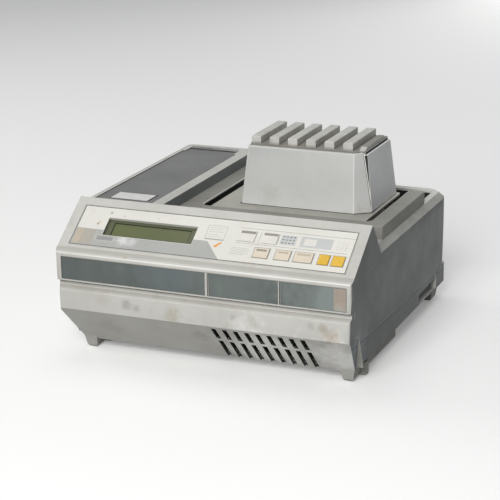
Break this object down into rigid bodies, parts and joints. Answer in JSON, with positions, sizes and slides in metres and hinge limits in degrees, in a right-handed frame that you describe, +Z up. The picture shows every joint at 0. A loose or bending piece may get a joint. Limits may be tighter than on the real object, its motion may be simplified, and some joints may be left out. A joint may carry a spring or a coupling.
{
  "type": "thermal shaker",
  "caption": "Bench thermal shaker with a slanted control pod, a printer bay and an orbital heated plate under a ribbed hood.",
  "frame": {"origin": "middle of the footprint at bench level, under the feet", "axes": "+X to the right seen from the front, +Y towards the back, +Z up"},
  "size_m": [0.354, 0.368, 0.2332],
  "materials": {
    "case_plastic": "light grey enamel, scuffed and stained",
    "hood_metal": "pale grey enamel, stained",
    "plate_enamel": "satin, pale",
    "window_plastic": "grey green, satin",
    "overlay_film": "printed polyester film",
    "display_frame": "olive",
    "display_screen": "dull green, glossy",
    "circuit_board": "green laminate",
    "key_cream": "cream",
    "key_yellow": "yellow",
    "key_white": "off white",
    "lid_dark": "dark grey enamel",
    "label_blank": "blank pale plate",
    "rubber_grey": "worn grey rubber",
    "steel": "bare steel",
    "aluminium": "satin",
    "bronze": "sintered bronze",
    "heater_film": "orange film",
    "insulation": "mineral felt",
    "motor_black": "black",
    "belt_rubber": "matte black",
    "black_plastic": "black",
    "gear_plastic": "natural acetal"
  },
  "bodies": {
    "case": {"base_skids": "rubber_grey", "case_screws": "steel", "chassis_plate": "steel", "data_port": "black_plastic", "deck": "case_plastic", "display_bezel": "display_frame", "display_glass": "display_screen", "drive_belt": "belt_rubber", "drive_frame": "steel", "drive_motor": "motor_black", "fan_frame": "black_plastic", "feet": "rubber_grey", "front_windows": "window_plastic", "hinge_pins": "steel", "lower_case": "case_plastic", "main_board": "circuit_board", "panel_boards": "circuit_board", "panel_overlay": "overlay_film", "power_inlet": "black_plastic", "power_supply": "aluminium", "print_head": "motor_black", "printer_bin": "lid_dark", "printer_motor": "motor_black", "rear_plate": "aluminium", "rocker_frame": "black_plastic", "shaft_bearings": "steel", "tear_bar": "steel", "upper_case": "case_plastic", "well_tray": "lid_dark"},
    "key_cream_left": {"key_cream_left": "key_cream"},
    "key_cream_middle": {"key_cream_middle": "key_cream"},
    "key_cream_right": {"key_cream_right": "key_cream"},
    "key_white_left": {"key_white_left": "key_white"},
    "key_white_right": {"key_white_right": "key_white"},
    "key_yellow_left": {"key_yellow_left": "key_yellow"},
    "key_yellow_right": {"key_yellow_right": "key_yellow"},
    "printer_lid": {"printer_lid": "lid_dark", "lid_plate": "label_blank"},
    "paper_spindle": {"paper_spindle": "steel"},
    "platen_roller": {"platen_roller": "belt_rubber"},
    "printer_pinion": {"printer_pinion": "gear_plastic"},
    "drive_crank": {"drive_crank": "steel", "drive_pulley": "aluminium"},
    "platform": {"platform": "aluminium", "pin_bushes": "bronze", "block_insulation": "insulation", "plate_heater": "heater_film", "heating_block": "aluminium", "floor_plate": "plate_enamel", "plate_guides": "plate_enamel"},
    "idler_crank_left": {"idler_crank_left": "steel"},
    "idler_crank_right": {"idler_crank_right": "steel"},
    "motor_pulley": {"motor_pulley": "aluminium"},
    "hood": {"hood_shell": "hood_metal", "hood_side_cover": "case_plastic", "hood_ribs": "case_plastic", "hood_heater": "heater_film", "hood_insulation": "insulation"},
    "power_rocker": {"power_rocker": "black_plastic"},
    "fan_rotor": {"fan_rotor": "black_plastic"}
  },
  "joints": [
    {"name": "key_cream_left_press", "type": "slide", "parent": "case", "child": "key_cream_left", "axis": [0, 0.5767, -0.817], "range_m": [0, 0.0005], "stiffness_N_per_m": 1500},
    {"name": "key_cream_middle_press", "type": "slide", "parent": "case", "child": "key_cream_middle", "axis": [0, 0.5767, -0.817], "range_m": [0, 0.0005], "stiffness_N_per_m": 1500},
    {"name": "key_cream_right_press", "type": "slide", "parent": "case", "child": "key_cream_right", "axis": [0, 0.5767, -0.817], "range_m": [0, 0.0005], "stiffness_N_per_m": 1500},
    {"name": "key_white_left_press", "type": "slide", "parent": "case", "child": "key_white_left", "axis": [0, 0.5767, -0.817], "range_m": [0, 0.0005], "stiffness_N_per_m": 1500},
    {"name": "key_white_right_press", "type": "slide", "parent": "case", "child": "key_white_right", "axis": [0, 0.5767, -0.817], "range_m": [0, 0.0005], "stiffness_N_per_m": 1500},
    {"name": "key_yellow_left_press", "type": "slide", "parent": "case", "child": "key_yellow_left", "axis": [0, 0.5767, -0.817], "range_m": [0, 0.0005], "stiffness_N_per_m": 1500},
    {"name": "key_yellow_right_press", "type": "slide", "parent": "case", "child": "key_yellow_right", "axis": [0, 0.5767, -0.817], "range_m": [0, 0.0005], "stiffness_N_per_m": 1500},
    {"name": "printer_lid_hinge", "type": "hinge", "parent": "case", "child": "printer_lid", "pos_m": [-0.13075, 0.153, 0.16], "axis": [-1, 0, 0], "range_deg": [0, 65]},
    {"name": "paper_spindle_spin", "type": "hinge", "parent": "case", "child": "paper_spindle", "pos_m": [-0.13075, 0.016, 0.143], "axis": [1, 0, 0], "continuous": true},
    {"name": "platen_spin", "type": "hinge", "parent": "case", "child": "platen_roller", "pos_m": [-0.13075, 0.138, 0.147], "axis": [1, 0, 0], "continuous": true},
    {"name": "printer_pinion_spin", "type": "hinge", "parent": "case", "child": "printer_pinion", "pos_m": [-0.1025, 0.12233, 0.13795], "axis": [1, 0, 0], "continuous": true},
    {"name": "drive_spin", "type": "hinge", "parent": "case", "child": "drive_crank", "pos_m": [0.04575, 0.02875, 0.088], "axis": [0, 0, 1], "continuous": true},
    {"name": "platform_pin", "type": "hinge", "parent": "drive_crank", "child": "platform", "pos_m": [0.04725, 0.02875, 0.121], "axis": [0, 0, 1], "continuous": true},
    {"name": "idler_left_spin", "type": "hinge", "parent": "case", "child": "idler_crank_left", "pos_m": [-0.01625, 0.06675, 0.088], "axis": [0, 0, 1], "continuous": true},
    {"name": "idler_right_spin", "type": "hinge", "parent": "case", "child": "idler_crank_right", "pos_m": [0.10775, 0.06675, 0.088], "axis": [0, 0, 1], "continuous": true},
    {"name": "motor_spin", "type": "hinge", "parent": "case", "child": "motor_pulley", "pos_m": [-0.03625, 0.02875, 0.069], "axis": [0, 0, 1], "continuous": true},
    {"name": "hood_lift", "type": "slide", "parent": "platform", "child": "hood", "axis": [0, 0, 1], "range_m": [0, 0.12]},
    {"name": "power_rocker_tilt", "type": "hinge", "parent": "case", "child": "power_rocker", "pos_m": [-0.058, 0.164, 0.072], "axis": [-1, 0, 0], "range_deg": [0, 16]},
    {"name": "fan_spin", "type": "hinge", "parent": "case", "child": "fan_rotor", "pos_m": [0.072, 0.159, 0.072], "axis": [0, 1, 0], "continuous": true}
  ],
  "couplings": [
    {"joint": "printer_pinion_spin", "follows": "platen_spin", "ratio": -2},
    {"joint": "platform_pin", "follows": "drive_spin", "ratio": -1},
    {"joint": "idler_left_spin", "follows": "drive_spin", "ratio": 1},
    {"joint": "idler_right_spin", "follows": "drive_spin", "ratio": 1},
    {"joint": "motor_spin", "follows": "drive_spin", "ratio": 2.8333}
  ]
}
